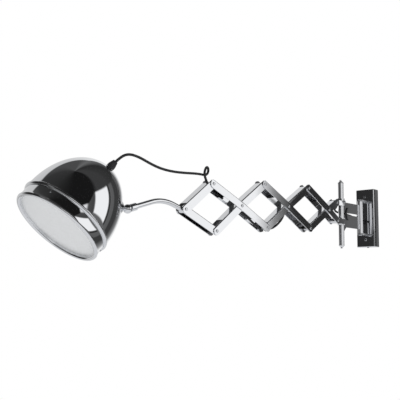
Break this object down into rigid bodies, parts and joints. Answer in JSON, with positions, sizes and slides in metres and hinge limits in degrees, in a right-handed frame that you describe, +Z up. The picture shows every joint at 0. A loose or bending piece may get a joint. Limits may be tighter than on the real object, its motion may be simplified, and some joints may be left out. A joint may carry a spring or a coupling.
{
  "type": "accordion wall lamp",
  "caption": "Wall lamp whose scissor arm of chrome channel links swings on a bracket and carries a round shade on a ball joint.",
  "frame": {"origin": "centre of the back plate's rear face, on the wall", "axes": "+Y into the wall, +Z up, +X to the right when facing the wall; the arm reaches out along -Y"},
  "size_m": [0.1735, 1.078, 0.2351],
  "materials": {
    "chrome": "polished chrome plate",
    "pins": "bright steel",
    "inner_steel": "zinc plated steel",
    "black_plastic": "moulded black plastic",
    "rubber": "soft black rubber",
    "frosted_glass": "frosted glass",
    "ceramic": "glazed lampholder",
    "bulb_glass": "opal bulb"
  },
  "bodies": {
    "wall_box": {"back_plate": "inner_steel", "box_cover": "chrome", "cover_studs": "inner_steel", "cover_screws": "pins", "bottom_screw": "pins", "cord_grommet": "rubber", "terminal_block": "black_plastic", "hinge_bracket": "inner_steel", "bracket_posts": "inner_steel", "hinge_pin": "pins"},
    "swivel_frame": {"hinge_barrel": "chrome", "swivel_plate": "chrome", "guide_rod": "chrome", "rod_cap_top": "chrome", "rod_cap_bottom": "chrome", "upper_collar": "chrome", "collar_screw": "pins", "upper_collar_pin": "pins", "plate_cord": "rubber", "hinge_cord": "rubber", "cord_clip": "black_plastic"},
    "lower_collar": {"lower_collar": "chrome"},
    "inner_link_3": {"inner_link_3": "chrome"},
    "outer_link_3": {"outer_link_3": "chrome", "rivets_3": "pins", "spacers_3": "pins"},
    "outer_link_2": {"outer_link_2": "chrome", "rivets_2": "pins", "spacers_2": "pins"},
    "inner_link_2": {"inner_link_2": "chrome", "arm_cord_2": "rubber"},
    "inner_link_1": {"inner_link_1": "chrome", "lower_tip_rivet": "pins"},
    "outer_link_1": {"outer_link_1": "chrome", "rivets_1": "pins", "spacers_1": "pins", "arm_cord_1": "rubber"},
    "tip_link_upper": {"tip_link_upper": "chrome", "tip_rivet": "pins"},
    "tip_link_lower": {"tip_link_lower": "chrome", "lower_tip_spacer": "pins"},
    "gooseneck": {"tip_knuckle": "chrome", "gooseneck_tube": "chrome", "ferrule": "chrome", "lamp_cord_arm": "rubber"},
    "ball": {"swivel_ball": "chrome", "lamp_cord_ball": "rubber"},
    "shade": {"ball_cup": "chrome", "cup_bolt": "inner_steel", "cup_nut": "inner_steel", "shade_bowl": "chrome", "bezel_ring": "chrome", "bezel_screws": "pins", "diffuser_glass": "frosted_glass", "glass_gasket": "rubber", "lampholder": "ceramic", "holder_post": "inner_steel", "bulb": "bulb_glass", "cord_grip": "black_plastic", "lamp_cord_shade": "rubber"}
  },
  "joints": [
    {"name": "wall_swivel", "type": "hinge", "parent": "wall_box", "child": "swivel_frame", "pos_m": [0, -0.052, 0], "axis": [0, 0, 1], "range_deg": [-70, 70], "deforming": ["hinge_cord"]},
    {"name": "arm_fold", "type": "hinge", "parent": "swivel_frame", "child": "inner_link_3", "pos_m": [0, -0.183, 0.0269], "axis": [1, 0, 0], "range_deg": [-14.5, 43.5], "deforming": ["plate_cord"]},
    {"name": "cross_3", "type": "hinge", "parent": "inner_link_3", "child": "outer_link_3", "pos_m": [0, -0.22518, 0.004], "axis": [1, 0, 0], "range_deg": [-87, 29]},
    {"name": "lower_collar_pivot", "type": "hinge", "parent": "outer_link_3", "child": "lower_collar", "pos_m": [0, -0.183, -0.0189], "axis": [1, 0, 0], "range_deg": [-14.5, 43.5]},
    {"name": "bottom_3", "type": "hinge", "parent": "inner_link_3", "child": "outer_link_2", "pos_m": [0, -0.3109, -0.0475], "axis": [1, 0, 0], "range_deg": [-87, 29]},
    {"name": "cross_2", "type": "hinge", "parent": "outer_link_2", "child": "inner_link_2", "pos_m": [0, -0.40078, -0.00367], "axis": [1, 0, 0], "range_deg": [-29, 87]},
    {"name": "top_2", "type": "hinge", "parent": "outer_link_2", "child": "inner_link_1", "pos_m": [0, -0.49249, 0.03621], "axis": [1, 0, 0], "range_deg": [-29, 87]},
    {"name": "cross_1", "type": "hinge", "parent": "inner_link_1", "child": "outer_link_1", "pos_m": [0, -0.57587, -0.01898], "axis": [1, 0, 0], "range_deg": [-87, 29]},
    {"name": "top_1", "type": "hinge", "parent": "outer_link_1", "child": "tip_link_upper", "pos_m": [0, -0.66923, 0.01685], "axis": [1, 0, 0], "range_deg": [-29, 87]},
    {"name": "tip_pivot", "type": "hinge", "parent": "tip_link_upper", "child": "gooseneck", "pos_m": [0, -0.75013, -0.04193], "axis": [1, 0, 0], "range_deg": [-43.5, 14.5], "deforming": ["lamp_cord_arm"]},
    {"name": "bottom_1", "type": "hinge", "parent": "inner_link_1", "child": "tip_link_lower", "pos_m": [0, -0.65678, -0.07776], "axis": [1, 0, 0], "range_deg": [-87, 29]},
    {"name": "shade_turn", "type": "hinge", "parent": "gooseneck", "child": "ball", "pos_m": [0, -0.89663, -0.05393], "axis": [0, 0, 1], "range_deg": [-12, 72], "deforming": ["lamp_cord_ball"]},
    {"name": "shade_tilt", "type": "hinge", "parent": "ball", "child": "shade", "pos_m": [0, -0.89663, -0.05393], "axis": [-0.8636, 0.5042, 0], "range_deg": [-45, 20], "deforming": ["lamp_cord_shade"]}
  ],
  "couplings": [
    {"joint": "cross_3", "follows": "arm_fold", "ratio": -2},
    {"joint": "lower_collar_pivot", "follows": "arm_fold", "ratio": 1},
    {"joint": "bottom_3", "follows": "arm_fold", "ratio": -2},
    {"joint": "cross_2", "follows": "arm_fold", "ratio": 2},
    {"joint": "top_2", "follows": "arm_fold", "ratio": 2},
    {"joint": "cross_1", "follows": "arm_fold", "ratio": -2},
    {"joint": "top_1", "follows": "arm_fold", "ratio": 2},
    {"joint": "tip_pivot", "follows": "arm_fold", "ratio": -1},
    {"joint": "bottom_1", "follows": "arm_fold", "ratio": -2}
  ]
}
